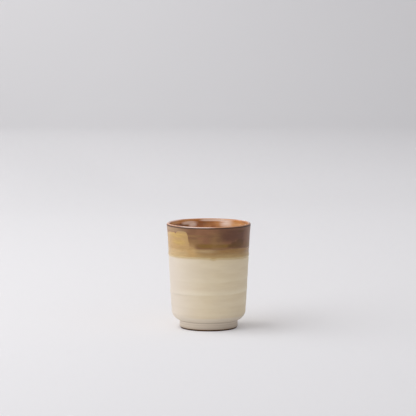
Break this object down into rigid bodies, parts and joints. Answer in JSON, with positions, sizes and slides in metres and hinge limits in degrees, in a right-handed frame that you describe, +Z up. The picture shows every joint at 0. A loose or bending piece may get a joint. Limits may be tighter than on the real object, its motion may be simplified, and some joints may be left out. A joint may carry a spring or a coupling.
{
  "type": "tea cup",
  "caption": "Tall handleless tea cup, thrown in stoneware on a trimmed foot ring, cream glazed and dipped in amber at the lip; holds hot tea and stands on a table.",
  "frame": {"origin": "middle of the circle that the foot ring stands on", "axes": "+Z up along the cup's axis, -Y towards the front, +X to the right as seen from the front"},
  "size_m": [0.072, 0.072, 0.0904],
  "materials": {
    "bare_stoneware": "matt fired clay, iron brown",
    "cream_glaze": "satin cream glaze",
    "amber_glaze": "glossy amber glaze, from purple brown to ochre",
    "liner_glaze": "glossy amber glaze"
  },
  "bodies": {
    "root": {"clay_body": "bare_stoneware", "cream_glaze": "cream_glaze", "amber_rim_glaze": "amber_glaze", "liner_glaze": "liner_glaze", "foot_well_glaze": "cream_glaze"}
  },
  "joints": []
}
